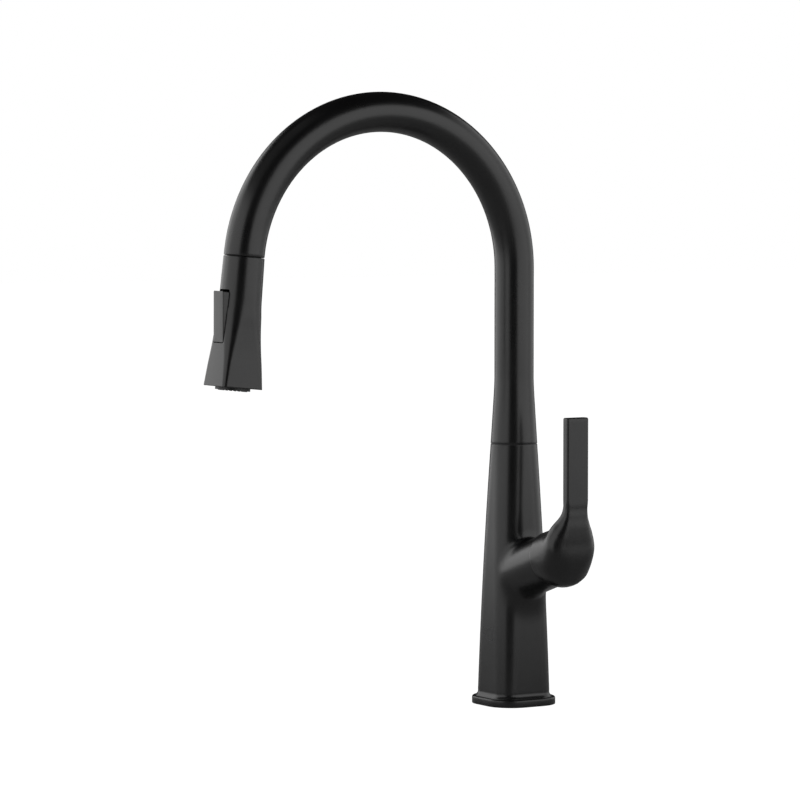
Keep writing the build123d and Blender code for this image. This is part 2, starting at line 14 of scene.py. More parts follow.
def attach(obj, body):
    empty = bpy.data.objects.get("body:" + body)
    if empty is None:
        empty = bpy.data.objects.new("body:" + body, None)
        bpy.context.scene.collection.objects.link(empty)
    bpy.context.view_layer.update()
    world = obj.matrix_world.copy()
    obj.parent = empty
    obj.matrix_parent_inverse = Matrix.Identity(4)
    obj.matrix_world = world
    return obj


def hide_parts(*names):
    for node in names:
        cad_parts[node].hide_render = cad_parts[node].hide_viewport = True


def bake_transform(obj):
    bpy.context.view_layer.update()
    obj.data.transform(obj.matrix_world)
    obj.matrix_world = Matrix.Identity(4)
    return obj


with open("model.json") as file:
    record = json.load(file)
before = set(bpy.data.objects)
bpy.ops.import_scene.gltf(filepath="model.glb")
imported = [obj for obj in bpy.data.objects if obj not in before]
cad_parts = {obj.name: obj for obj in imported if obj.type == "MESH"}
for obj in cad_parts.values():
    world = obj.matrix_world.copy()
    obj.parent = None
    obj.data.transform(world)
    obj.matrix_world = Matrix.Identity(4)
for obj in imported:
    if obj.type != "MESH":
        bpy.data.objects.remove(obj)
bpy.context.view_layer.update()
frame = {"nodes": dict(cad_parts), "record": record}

# ---- the object's own dimensions, as in the CAD model ----
MM = 0.001
SEAM_Z = 186.0 * MM
TUBE_R = 14.0 * MM
TUBE_WALL = 1.4 * MM
ARCH_R = 110.4 * MM
SPRING_Z = 311.0 * MM
ARCH_SWEEP = radians(174.2)
HUB_TILT = radians(18.0)
HUB_Z = 90.8 * MM
HUB_SEAM = 54.05 * MM
BOSS_R = 19.2 * MM
PIVOT = 46.05 * MM
CAVITY_R = 20.89 * MM
HOSE_R = 5.5 * MM

TIP = pi - ARCH_SWEEP
HUB_AXIS = Vector((cos(HUB_TILT), 0, sin(HUB_TILT)))
HUB_UP = Vector((-sin(HUB_TILT), 0, cos(HUB_TILT)))
HUB_FRAME = Matrix((
    (0, HUB_UP.x, HUB_AXIS.x, 0),
    (1, HUB_UP.y, HUB_AXIS.y, 0),
    (0, HUB_UP.z, HUB_AXIS.z, HUB_Z),
    (0, 0, 0, 1),
))
SPOUT_END = Vector((0, -ARCH_R - ARCH_R * cos(TIP), SPRING_Z + ARCH_R * sin(TIP)))
HEAD_AXIS = Vector((0, -sin(TIP), -cos(TIP)))
HEAD_FRONT = Vector((0, -cos(TIP), sin(TIP)))
HEAD_FRAME = Matrix((
    (1, HEAD_FRONT.x, HEAD_AXIS.x, SPOUT_END.x),
    (0, HEAD_FRONT.y, HEAD_AXIS.y, SPOUT_END.y),
    (0, HEAD_FRONT.z, HEAD_AXIS.z, SPOUT_END.z),
    (0, 0, 0, 1),
))


# ---- camera, floor and light ----
CAMERA_AT = Vector((2.4213, -1.5791, 0.3884))
CAMERA_AZIMUTH = radians(58.5)
CAMERA_PITCH = radians(3.009)
CAMERA_LENS = 182.7
CAMERA_SHIFT = -0.0341
WORLD_FILL = 0.02


def make_camera():
    data = bpy.data.cameras.new("camera")
    data.lens = CAMERA_LENS
    data.shift_y = CAMERA_SHIFT
    data.clip_start = 0.05
    data.clip_end = 50.0
    camera = bpy.data.objects.new("camera", data)
    camera.rotation_euler = (pi / 2 - CAMERA_PITCH, 0, CAMERA_AZIMUTH)
    camera.location = CAMERA_AT
    bpy.context.scene.collection.objects.link(camera)
    bpy.context.scene.camera = camera


def area_light(name, at, toward, size, power):
    data = bpy.data.lights.new(name, "AREA")
    data.shape = "RECTANGLE"
    data.size = size[0]
    data.size_y = size[1]
    data.energy = power
    lamp = bpy.data.objects.new(name, data)
    lamp.location = at
    lamp.rotation_euler = (Vector(toward) - Vector(at)).to_track_quat("-Z", "Y").to_euler()
    bpy.context.scene.collection.objects.link(lamp)


def from_camera_side(turn, distance, height):
    """A place round the object, turned from the camera's direction; positive turns are to the right."""
    way = CAMERA_AZIMUTH - pi / 2 + radians(turn)
    return Vector((0, -0.1, 0)) + Vector((cos(way), sin(way), 0)) * distance + Vector((0, 0, height))


def make_lights():
    """Wide soft boxes on both sides, before and behind the object, and a weak one overhead.

    The gap between the two front boxes, at the camera, makes the dark band down the body.
    """
    middle = Vector((0, -0.1, 0.25))
    area_light("left_box", from_camera_side(-64, 1.5, 0.3), middle, (2.2, 2.2), 20)
    area_light("left_rear_box", from_camera_side(-124, 1.5, 0.3), middle, (1.5, 2.2), 16)
    area_light("right_box", from_camera_side(58, 1.5, 0.3), middle, (2.3, 2.2), 23)
    area_light("right_rear_box", from_camera_side(122, 1.5, 0.3), middle, (1.4, 2.2), 9)
    area_light("top_box", from_camera_side(-60, 0.8, 1.9), middle, (1.4, 1.4), 1.0)


def make_world():
    """White to the camera, and a faint even fill to everything else."""
    world = bpy.data.worlds.new("studio")
    world.use_nodes = True
    nodes, links = world.node_tree.nodes, world.node_tree.links
    nodes.clear()
    out = nodes.new("ShaderNodeOutputWorld")
    seen = nodes.new("ShaderNodeBackground")
    seen.inputs["Strength"].default_value = 1.0
    seen.inputs["Color"].default_value = (1, 1, 1, 1)
    fill = nodes.new("ShaderNodeBackground")
    fill.inputs["Color"].default_value = (1, 1, 1, 1)
    fill.inputs["Strength"].default_value = WORLD_FILL
    pick = nodes.new("ShaderNodeMixShader")
    path = nodes.new("ShaderNodeLightPath")
    links.new(path.outputs["Is Camera Ray"], pick.inputs["Fac"])
    links.new(fill.outputs[0], pick.inputs[1])
    links.new(seen.outputs[0], pick.inputs[2])
    links.new(pick.outputs[0], out.inputs[0])
    bpy.context.scene.world = world


make_camera()
make_lights()
make_world()
bpy.context.scene.view_settings.view_transform = "Standard"


# ---- mesh helpers ----
def link_mesh(name, verts, faces):
    mesh = bpy.data.meshes.new(name)
    mesh.from_pydata([tuple(v) for v in verts], [], faces)
    mesh.validate()
    piece = bpy.data.objects.new(name, mesh)
    bpy.context.scene.collection.objects.link(piece)
    return piece


def soften(piece, angle=35.0):
    """Smooth shading, with creases kept where faces meet at a sharper angle."""
    for face in piece.data.polygons:
        face.use_smooth = True
    piece.data.set_sharp_from_angle(angle=radians(angle))
    return piece


def baked(piece):
    """Puts a piece's modifiers into its mesh."""
    bpy.context.view_layer.update()
    graph = bpy.context.evaluated_depsgraph_get()
    mesh = bpy.data.meshes.new_from_object(piece.evaluated_get(graph))
    piece.modifiers.clear()
    old = piece.data
    piece.data = mesh
    bpy.data.meshes.remove(old)
    return piece


def bevelled(piece, width, segments=2, angle=40.0):
    bevel = piece.modifiers.new("bevel", "BEVEL")
    bevel.width = width
    bevel.segments = segments
    bevel.limit_method = "ANGLE"
    bevel.angle_limit = radians(angle)
    return baked(piece)


def cut(piece, cutter, operation="DIFFERENCE"):
    """Boolean of piece with cutter, which is then removed."""
    change = piece.modifiers.new("cut", "BOOLEAN")
    change.operation = operation
    change.solver = "EXACT"
    change.object = cutter
    baked(piece)
    bpy.data.objects.remove(cutter)
    return piece


def circle(radius, z, segments):
    """Points of a circle about the local Z axis."""
    turns = [2 * pi * i / segments for i in range(segments)]
    return [(radius * cos(turn), radius * sin(turn), z) for turn in turns]


def loft_rings(name, rings, place=Matrix.Identity(4), closed=False):
    """Mesh through rings of points. An open row of rings gets a cap at each end; a closed one joins up."""
    verts = [place @ Vector(p) for ring in rings for p in ring]
    count = len(rings[0])
    faces = []
    rows = len(rings) if closed else len(rings) - 1
    for row in range(rows):
        low = row * count
        high = ((row + 1) % len(rings)) * count
        for i in range(count):
            j = (i + 1) % count
            faces.append((low + i, low + j, high + j, high + i))
    if not closed:
        faces.append(tuple(range(count))[::-1])
        faces.append(tuple(range((len(rings) - 1) * count, len(rings) * count)))
    piece = link_mesh(name, verts, faces)
    outward(piece)
    return piece


def outward(piece):
    """Turns every face's normal out of the solid."""
    shape = bmesh.new()
    shape.from_mesh(piece.data)
    bmesh.ops.recalc_face_normals(shape, faces=shape.faces)
    shape.to_mesh(piece.data)
    shape.free()


def turned(name, profile, place=Matrix.Identity(4), segments=96):
    """Closed ring turned about the local Z axis from (radius, height) corners."""
    rings = [circle(radius, height, segments) for radius, height in profile]
    return loft_rings(name, rings, place, closed=True)


def turned_solid(name, radius, low, high, place=Matrix.Identity(4), segments=96):
    """Plain rod about the local Z axis."""
    return loft_rings(name, [circle(radius, z, segments) for z in (low, high)], place)


def ball(name, radius, at):
    shape = bmesh.new()
    bmesh.ops.create_uvsphere(shape, u_segments=96, v_segments=64, radius=radius)
    mesh = bpy.data.meshes.new(name)
    shape.to_mesh(mesh)
    shape.free()
    mesh.transform(Matrix.Translation(at))
    piece = bpy.data.objects.new(name, mesh)
    bpy.context.scene.collection.objects.link(piece)
    return piece


def rounded_outline(half_x, half_y, corner, steps=12):
    """Points of a rounded rectangle, corner arcs first to last."""
    corner = min(corner, half_x, half_y)
    points = []
    for quarter, (sx, sy) in enumerate(((1, 1), (-1, 1), (-1, -1), (1, -1))):
        for step in range(steps + 1):
            turn = pi / 2 * (quarter + step / steps)
            points.append((
                sx * (half_x - corner) + corner * cos(turn),
                sy * (half_y - corner) + corner * sin(turn),
            ))
    return points


def smooth_rows(rows, spacing, end_slope=1.0):
    """Rows of numbers, the first a distance, filled in by a monotone cubic at an even spacing.

    The last row's slope is that of the last step times end_slope.
    """
    table = np.array(rows, float)
    x, y = table[:, 0], table[:, 1:]
    step = np.diff(x)[:, None]
    slope = np.diff(y, axis=0) / step
    middle = np.where(
        slope[:-1] * slope[1:] > 0,
        2 * slope[:-1] * slope[1:] / np.where(slope[:-1] + slope[1:] == 0, 1, slope[:-1] + slope[1:]),
        0,
    )
    tangent = np.vstack([slope[:1], middle, slope[-1:] * end_slope])
    out = []
    for at in np.linspace(x[0], x[-1], int(round((x[-1] - x[0]) / spacing)) + 1):
        i = min(max(int(np.searchsorted(x, at) - 1), 0), len(x) - 2)
        width = x[i + 1] - x[i]
        t = (at - x[i]) / width
        value = (
            y[i] * (1 + 2 * t) * (1 - t) ** 2
            + tangent[i] * width * t * (1 - t) ** 2
            + y[i + 1] * t * t * (3 - 2 * t)
            + tangent[i + 1] * width * t * t * (t - 1)
        )
        out.append((at, *value))
    return out


# ---- materials ----
def noise_bump(nodes, links, shader, scale, strength, distance, detail=4.0):
    """Fine grain in the surface, at a real size."""
    place = nodes.new("ShaderNodeTexCoord")
    grain = nodes.new("ShaderNodeTexNoise")
    grain.inputs["Scale"].default_value = scale
    grain.inputs["Detail"].default_value = detail
    bump = nodes.new("ShaderNodeBump")
    bump.inputs["Strength"].default_value = strength
    bump.inputs["Distance"].default_value = distance
    links.new(place.outputs["Object"], grain.inputs["Vector"])
    links.new(grain.outputs["Fac"], bump.inputs["Height"])
    links.new(bump.outputs["Normal"], shader.inputs["Normal"])
    return place


def varied(nodes, links, place, shader, socket, scale, low, high):
    """Lets a soft cloudy pattern move a value or colour of the shader between two limits."""
    cloud = nodes.new("ShaderNodeTexNoise")
    cloud.inputs["Scale"].default_value = scale
    cloud.inputs["Detail"].default_value = 3.0
    ramp = nodes.new("ShaderNodeValToRGB")
    ramp.color_ramp.elements[0].position = 0.3
    ramp.color_ramp.elements[1].position = 0.7
    for element, value in zip(ramp.color_ramp.elements, (low, high)):
        element.color = (value, value, value, 1) if isinstance(value, float) else (*value, 1)
    links.new(place.outputs["Object"], cloud.inputs["Vector"])
    links.new(cloud.outputs["Fac"], ramp.inputs["Fac"])
    links.new(ramp.outputs["Color"], shader.inputs[socket])


def surface(name, metallic, rough, colours, grain, cloud=25.0):
    """A finished surface: cloudy colour and roughness, and a fine grain (scale, strength, depth)."""
    material = bpy.data.materials.new(name)
    material.use_nodes = True
    nodes, links = material.node_tree.nodes, material.node_tree.links
    shader = nodes["Principled BSDF"]
    shader.inputs["Metallic"].default_value = metallic
    place = noise_bump(nodes, links, shader, *grain)
    varied(nodes, links, place, shader, "Roughness", cloud, *rough)
    varied(nodes, links, place, shader, "Base Color", cloud * 1.7, *colours)
    return material


# Finishes: metallic, roughness limits, colour limits, grain (scale, strength, depth).
FINISHES = {
    "matte_black": (
        0.0, (0.27, 0.32), ((0.0035, 0.0035, 0.0037), (0.0045, 0.0045, 0.0047)), (2600.0, 0.10, 0.00006),
    ),
    "black_plastic": (
        0.0, (0.42, 0.52), ((0.010, 0.010, 0.0105), (0.014, 0.014, 0.0145)), (1800.0, 0.15, 0.00008),
    ),
    "brass": (1.0, (0.24, 0.36), ((0.62, 0.44, 0.18), (0.72, 0.53, 0.24)), (900.0, 0.12, 0.00005)),
    "steel": (1.0, (0.22, 0.34), ((0.50, 0.50, 0.51), (0.62, 0.62, 0.63)), (1200.0, 0.12, 0.00004)),
    "rubber": (0.0, (0.70, 0.85), ((0.012, 0.012, 0.012), (0.020, 0.020, 0.020)), (1500.0, 0.25, 0.0001)),
    "grey_rubber": (0.0, (0.55, 0.70), ((0.045, 0.045, 0.048), (0.065, 0.065, 0.068)), (1500.0, 0.2, 0.0001)),
    "white_plastic": (0.0, (0.38, 0.50), ((0.66, 0.66, 0.63), (0.74, 0.74, 0.71)), (1500.0, 0.1, 0.00005)),
    "ceramic": (0.0, (0.12, 0.20), ((0.76, 0.76, 0.73), (0.84, 0.84, 0.81)), (2000.0, 0.05, 0.00002)),
    "braid": (0.0, (0.55, 0.70), ((0.020, 0.020, 0.022), (0.045, 0.045, 0.048)), (3000.0, 0.3, 0.0001)),
}
materials = {name: surface(name, *finish) for name, finish in FINISHES.items()}


def dress(piece, body, slot):
    """Gives a new piece its finish and its body."""
    piece.data.materials.clear()
    piece.data.materials.append(materials[slot])
    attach(piece, body)
    return piece


def dress_frame():
    """Every CAD node gets its slot's finished material."""
    slots = {row["node"]: row["material_slot"] for row in frame["record"]["subparts"]}
    for name, node in frame["nodes"].items():
        node.data.materials.clear()
        node.data.materials.append(materials[slots[name]])


dress_frame()


# ---- floor ----
FLOOR_HALF = 9.0
FLOOR_GLOW = 1.2
GLOW_SHARE = 0.86


def make_floor():
    """Pale sweep that stays evenly white to the eye and keeps a faint contact shadow."""
    corners = [(x * FLOOR_HALF, y * FLOOR_HALF, 0) for x, y in ((-1, -1), (1, -1), (1, 1), (-1, 1))]
    floor = link_mesh("floor", corners, [(0, 1, 2, 3)])
    material = bpy.data.materials.new("pale_floor")
    material.use_nodes = True
    nodes, links = material.node_tree.nodes, material.node_tree.links
    matte = nodes["Principled BSDF"]
    matte.inputs["Base Color"].default_value = (0.6, 0.6, 0.6, 1)
    matte.inputs["Roughness"].default_value = 0.8
    matte.inputs["Specular IOR Level"].default_value = 0.1
    glow = nodes.new("ShaderNodeEmission")
    glow.inputs["Strength"].default_value = FLOOR_GLOW
    mix = nodes.new("ShaderNodeMixShader")
    path = nodes.new("ShaderNodeLightPath")
    share = nodes.new("ShaderNodeMath")
    share.operation = "MULTIPLY"
    share.inputs[1].default_value = GLOW_SHARE
    links.new(path.outputs["Is Camera Ray"], share.inputs[0])
    links.new(share.outputs[0], mix.inputs[0])
    links.new(matte.outputs[0], mix.inputs[1])
    links.new(glow.outputs[0], mix.inputs[2])
    links.new(mix.outputs[0], nodes["Material Output"].inputs["Surface"])
    floor.data.materials.append(material)


make_floor()


# ---- body ----
BODY_LOW = 5.5 * MM
BODY_HIGH = SEAM_Z - 0.35 * MM
BODY_VOXEL = 0.9 * MM
BOSS_BORE_R = 17.25 * MM


def body_flat(z):
    """Half length of the body's flat sides at a height, in millimetres."""
    return np.clip(10.0 * (186.0 - z) / 178.0, 0.0, 9.9)


def body_corner(z):
    """Corner radius of the body at a height, with the small flare at its foot, in millimetres."""
    foot = np.clip((8.8 - z) / 3.3, 0.0, 1.0)
    return 11.4 + 0.0466 * z - 0.0001 * z ** 2 + 2.2 * foot ** 2


def body_distance(p):
    """Distance of points from the body's tapering side, in millimetres."""
    flat = body_flat(p[:, 2])
    dx, dy = np.abs(p[:, 0]) - flat, np.abs(p[:, 1]) - flat
    outside = np.hypot(np.maximum(dx, 0), np.maximum(dy, 0))
    return outside + np.minimum(np.maximum(dx, dy), 0) - body_corner(p[:, 2])


def boss_distance(p):
    """Distance of points from the boss's side, in millimetres."""
    q = p - np.array([0, 0, HUB_Z / MM])
    along = q @ np.array(HUB_AXIS)
    aside = np.linalg.norm(q - along[:, None] * np.array(HUB_AXIS), axis=1)
    return np.hypot(aside, np.minimum(along - 18.0, 0)) - BOSS_R / MM


def slope_of(distance, p):
    """Unit direction in which a distance grows."""
    reach = 0.05
    parts = []
    for axis in range(3):
        step = np.zeros(3)
        step[axis] = reach
        parts.append(distance(p + step) - distance(p - step))
    way = np.array(parts).T
    return way / np.maximum(np.linalg.norm(way, axis=1), 1e-9)[:, None]


def joined_distance(p):
    """Body and boss in one, with a fillet only where their sides cross: tighter above than below."""
    a, b = body_distance(p), boss_distance(p)
    facing = np.sum(slope_of(body_distance, p) * slope_of(boss_distance, p), axis=1)
    q = p - np.array([0, 0, HUB_Z / MM])
    above = np.clip((q @ np.array(HUB_UP)) / (BOSS_R / MM), -1, 1)
    width = (17.0 - 6.0 * above) * np.clip(1 - facing, 0, 1)
    width = np.maximum(width, 0.01)
    share = np.maximum(width - np.abs(a - b), 0) / width
    return np.minimum(a, b) - share ** 3 * width / 6


def remeshed(piece, size):
    change = piece.modifiers.new("remesh", "REMESH")
    change.mode = "VOXEL"
    change.voxel_size = size
    return baked(piece)


def settle(piece, distance, rounds=6):
    """Evens out a mesh and lays its points on the surface where a distance is nought."""
    mesh = piece.data
    for turn in range(rounds):
        if turn < rounds - 2:
            shape = bmesh.new()
            shape.from_mesh(mesh)
            bmesh.ops.smooth_vert(
                shape, verts=shape.verts, factor=0.5, use_axis_x=True, use_axis_y=True, use_axis_z=True,
            )
            shape.to_mesh(mesh)
            shape.free()
        points = np.zeros(len(mesh.vertices) * 3)
        mesh.vertices.foreach_get("co", points)
        points = points.reshape(-1, 3) / MM
        for _ in range(2):
            points -= (distance(points)[:, None] * slope_of(distance, points)).clip(-0.8, 0.8)
        mesh.vertices.foreach_set("co", (points * MM).ravel())
        mesh.update()
    return piece


def sliced(piece, at, normal):
    """Cuts off what lies beyond a plane and closes the hole."""
    shape = bmesh.new()
    shape.from_mesh(piece.data)
    geometry = shape.verts[:] + shape.edges[:] + shape.faces[:]
    bmesh.ops.bisect_plane(shape, geom=geometry, plane_co=at, plane_no=normal, clear_outer=True, dist=1e-7)
    rim = [edge for edge in shape.edges if edge.is_boundary]
    bmesh.ops.contextual_create(shape, geom=rim)
    shape.to_mesh(piece.data)
    shape.free()
    return piece


def make_body():
    """Tapering body and boss as one skin, cut flat at the plate, at the seam and at the handle."""
    rings = []
    for z in np.arange(-3.0, 194.0, 2.0):
        flat, corner = float(body_flat(z)), float(body_corner(max(z, 0.0)))
        outline = rounded_outline(flat + corner, flat + corner, corner)
        rings.append([(x * MM, y * MM, z * MM) for x, y in outline])
    body = loft_rings("body_shell_skin", rings)
    boss_rings = [circle(BOSS_R * 0.98, along * MM, 96) for along in (10, 25, 40, 52, 62)]
    cut(body, loft_rings("boss", boss_rings, HUB_FRAME), "UNION")
    remeshed(body, BODY_VOXEL)
    settle(body, joined_distance)
    sliced(body, (0, 0, BODY_LOW), (0, 0, -1))
    sliced(body, (0, 0, BODY_HIGH), (0, 0, 1))
    hub_end = Vector((0, 0, HUB_Z)) + HUB_AXIS * (HUB_SEAM - 0.6 * MM)
    sliced(body, hub_end, HUB_AXIS)
    cut(body, turned_solid("bore", BOSS_BORE_R, 15.0 * MM, 70.0 * MM, HUB_FRAME, 72))
    soften(bevelled(body, 0.25 * MM, 2, 50.0), 50.0)
    dress(body, "base", "matte_black")
    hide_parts("body_shell")


make_body()


# ---- spout tube ----
FLARE_TOP = 234.0 * MM
FLARE_LOW = SEAM_Z + 0.35 * MM
FLARE_GROWTH = 2.65 * MM
SEAM_EDGE = 0.3 * MM
LIP_EDGE = 0.5 * MM
SPOUT_SEGMENTS = 112
RISE_STEPS = 60
ARCH_STEPS = 130
# A rounded edge in three steps: shares of its size along the tube, and drawn in.
EDGE_SHARES = ((0.0, 1.0), (0.3, 0.3), (1.0, 0.0))


def flare_radius(z):
    """Outside radius of the riser: round tube above, opening towards the body below."""
    down = max(FLARE_TOP - z, 0) / (FLARE_TOP - FLARE_LOW)
    return TUBE_R + FLARE_GROWTH * (down - 0.12 * (1 - exp(-down / 0.12))) / 0.88


def ring_at(middle, across, ahead, radius, segments):
    """Points of a circle about a place, in the plane of two directions."""
    return [
        middle + radius * (cos(2 * pi * i / segments) * across + sin(2 * pi * i / segments) * ahead)
        for i in range(segments)
    ]


def arch_station(turn):
    """Point of the arch's centre line at an angle from its rising side, and the way out of the curve."""
    middle = Vector((0, -ARCH_R + ARCH_R * cos(turn), SPRING_Z + ARCH_R * sin(turn)))
    return middle, Vector((0, cos(turn), sin(turn)))


def riser_ring(z, radius):
    return ring_at(Vector((0, 0, z)), Vector((1, 0, 0)), Vector((0, 1, 0)), radius, SPOUT_SEGMENTS)


def arch_ring(turn, radius):
    middle, outside = arch_station(turn)
    return ring_at(middle, Vector((1, 0, 0)), outside, radius, SPOUT_SEGMENTS)


def make_spout():
    """Riser and arch in one, with its edges rounded at the seam and at the head."""
    foot = flare_radius(FLARE_LOW)
    rise = [FLARE_LOW + (SPRING_Z - FLARE_LOW) * i / RISE_STEPS for i in range(1, RISE_STEPS)]
    turns = [ARCH_SWEEP * i / ARCH_STEPS for i in range(ARCH_STEPS + 1)]
    outer = []
    for along, drawn in EDGE_SHARES:
        outer.append(riser_ring(FLARE_LOW + along * SEAM_EDGE, foot - drawn * SEAM_EDGE))
    outer += [riser_ring(z, flare_radius(z)) for z in rise]
    outer += [arch_ring(turn, TUBE_R) for turn in turns[:-1]]
    for along, drawn in reversed(EDGE_SHARES):
        outer.append(arch_ring(ARCH_SWEEP - along * LIP_EDGE / ARCH_R, TUBE_R - drawn * LIP_EDGE))
    bore = TUBE_R - TUBE_WALL
    inner = [arch_ring(turn, bore) for turn in reversed(turns)]
    inner += [riser_ring(z, bore) for z in (SPRING_Z - 1 * MM, FLARE_TOP, FLARE_LOW)]
    spout = loft_rings("spout_tube_skin", outer + inner, closed=True)
    dress(soften(spout, 60.0), "spout", "matte_black")
    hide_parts("spout_tube")


make_spout()


# ---- base plate ----
PLATE_SIDE = 53.6 * MM
PLATE_CORNER = 19.0 * MM
PLATE_HEIGHT = 5.5 * MM
PLATE_BORE = 17.0 * MM
PLATE_ROUND = 1.3 * MM
PLATE_STEPS = 14
GROOVE_INNER = 18.4 * MM
GROOVE_OUTER = 22.0 * MM
GROOVE_DEPTH = 1.5 * MM


def plate_ring(inset, z):
    """Outline of the plate, drawn in by an inset."""
    half, corner = PLATE_SIDE / 2 - inset, PLATE_CORNER - inset
    return [(x, y, z) for x, y in rounded_outline(half, half, corner, PLATE_STEPS)]


def make_base_plate():
    """Squared plate with a softly rounded upper edge and a broken lower one."""
    rings = [plate_ring(0.3 * MM, 0), plate_ring(0.08 * MM, 0.1 * MM), plate_ring(0, 0.35 * MM)]
    for step in range(7):
        turn = pi / 2 * step / 6
        rings.append(plate_ring(PLATE_ROUND * (1 - cos(turn)), PLATE_HEIGHT - PLATE_ROUND * (1 - sin(turn))))
    plate = loft_rings("base_plate_skin", rings)
    below = -1 * MM
    bore = turned_solid("plate_bore", PLATE_BORE, below, PLATE_HEIGHT + 1.5 * MM)
    groove = turned("plate_groove", [
        (GROOVE_INNER, below),
        (GROOVE_OUTER, below),
        (GROOVE_OUTER, GROOVE_DEPTH),
        (GROOVE_INNER, GROOVE_DEPTH),
    ])
    cut(cut(plate, bore), groove)
    dress(soften(plate, 40.0), "base", "matte_black")
    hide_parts("base_plate")


make_base_plate()


# ---- handle ----
FAN_START = 69.75 * MM
FAN_INNER = 22.0 * MM
FAN_HEIGHT = 41.6 * MM
LEVER_TOP = 208.7 * MM
LEVER_THICK = 6.6 * MM
# Hub of the handle along the tilted axis, in millimetres: distance, height above and below the
# axis, corner radius.
HUB_ROWS = [
    (54.05, 20.0, 20.0, 19.95),
    (58.0, 19.8, 21.2, 19.7),
    (62.0, 19.6, 22.3, 19.5),
    (66.0, 19.6, 22.5, 19.4),
]
# Fan between hub and lever: angle turned in degrees, then in millimetres the outer distance from its
# centre, half width, corner radius.
FAN_ROWS = [
    (0.0, 63.3, 19.9, 19.0),
    (12.0, 53.2, 19.3, 15.6),
    (24.0, 41.9, 16.2, 9.9),
    (36.0, 35.35, 12.3, 6.2),
    (48.0, 31.3, 9.9, 4.2),
    (60.0, 29.2, 9.1, 2.7),
    (72.0, 28.6, 9.0, 1.6),
]
HANDLE_STEPS = 16
HUB_HALF_WIDTH = 20.0
LEVER_TIP = 1.1 * MM
STEM_HALF = 4.1 * MM
STEM_FROM = 65.0 * MM
STEM_TO = 78.5 * MM
SCREW_AT = 72.0 * MM


def hub_ring(along, above, below, corner):
    """Rounded section of the handle across the tilted axis."""
    middle, half = (above - below) / 2, (above + below) / 2
    outline = rounded_outline(HUB_HALF_WIDTH, half, min(corner, half), HANDLE_STEPS)
    return [(x * MM, (y + middle) * MM, along * MM) for x, y in outline]


def fan_ring(turn, outer, half_width, corner):
    """Rounded section of the handle at an angle about the inner curve's centre."""
    turn = radians(turn)
    inner = FAN_INNER / MM
    middle, half = (inner + outer) / 2, (outer - inner) / 2
    ring = []
    for x, y in rounded_outline(half_width, half, min(corner, half), HANDLE_STEPS):
        reach = (middle - y) * MM
        ring.append((x * MM, FAN_HEIGHT - reach * cos(turn), FAN_START + reach * sin(turn)))
    return ring


def lever_rings():
    """Straight upright lever, its tip rounded over."""
    last = FAN_ROWS[-1]
    start = [HUB_FRAME @ Vector(p) for p in fan_ring(*last)]
    low = sum(p.z for p in start) / len(start)
    middle = sum(p.x for p in start) / len(start)
    half_thick, half_width, corner = LEVER_THICK / 2, last[2] * MM, last[3] * MM
    heights = [(low + (LEVER_TOP - LEVER_TIP - low) * i / 24, 0.0) for i in range(1, 25)]
    for step in range(1, 7):
        turn = pi / 2 * step / 6
        heights.append((LEVER_TOP - LEVER_TIP * (1 - sin(turn)), LEVER_TIP * (1 - cos(turn))))
    rings = []
    for z, inset in heights:
        edge = max(corner - inset, 0.5 * MM)
        outline = rounded_outline(half_width - inset, half_thick - inset, edge, HANDLE_STEPS)
        rings.append([(middle - y, x, z) for x, y in outline])
    return rings


def make_handle():
    """Hub, fan and lever in one skin, hollowed for the dome and cut for the stem, screw and plug."""
    bent = [hub_ring(*row) for row in smooth_rows(HUB_ROWS, 1.0)]
    bent += [fan_ring(*row) for row in smooth_rows(FAN_ROWS, 1.5, 0.0)]
    rings = [[HUB_FRAME @ Vector(p) for p in ring] for ring in bent]
    handle = loft_rings("handle_skin", rings + lever_rings())
    cut(handle, ball("cavity", CAVITY_R, HUB_FRAME @ Vector((0, 0, PIVOT))))
    corners = [(x * STEM_HALF, y * STEM_HALF) for x, y in ((1, 1), (-1, 1), (-1, -1), (1, -1))]
    stem_rings = [[(x, y, z) for x, y in corners] for z in (STEM_FROM, STEM_TO)]
    cut(handle, loft_rings("stem_socket", stem_rings, HUB_FRAME))
    across = HUB_FRAME @ Matrix.Translation((0, 0, SCREW_AT)) @ Matrix.Rotation(pi / 2, 4, "Y")
    cut(handle, turned_solid("screw_hole", 2.53 * MM, 0, 18 * MM, across, 48))
    cut(handle, turned_solid("plug_hole", 3.53 * MM, 17 * MM, 24 * MM, across, 48))
    soften(bevelled(handle, 0.2 * MM, 2, 50.0), 45.0)
    dress(handle, "handle", "matte_black")
    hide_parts("handle")


make_handle()


# ---- spray head ----
# Rounded-square sections down the head, in millimetres: distance, half length of the flats, corner
# radius. The sizes under them are in millimetres too.
HEAD_ROWS = [
    (0.4, 0.3, 13.7),
    (26.0, 0.5, 13.95),
    (33.0, 1.0, 13.45),
    (41.0, 2.35, 12.2),
    (49.0, 4.0, 10.35),
    (57.0, 5.85, 8.45),
    (65.5, 8.05, 6.35),
    (74.0, 9.95, 4.85),
    (82.0, 11.25, 3.95),
    (90.0, 12.3, 3.35),
]
HEAD_WALL = 1.6
HEAD_STEPS = 14
HEAD_BORE_R = 10.53
HEAD_BORE_DEPTH = 9.0
BUTTON_WIDTH = 13.4
BUTTON_TOP = 25.1
BUTTON_LOW = 60.1
BUTTON_FRONT_TOP = 18.0
BUTTON_FRONT_LOW = 14.6
BUTTON_CORNER = 0.9
BUTTON_BACK = 12.6
BUTTON_EDGE = 0.4
BUTTON_CROWN = 0.15
PIN_S = 57.2
PIN_Y = 11.4


def head_ring(s, flat, corner, inset=0.0):
    half = flat + corner - inset
    corner = min(max(corner - inset, 0.5), half)
    return [(x * MM, y * MM, s * MM) for x, y in rounded_outline(half, half, corner, HEAD_STEPS)]


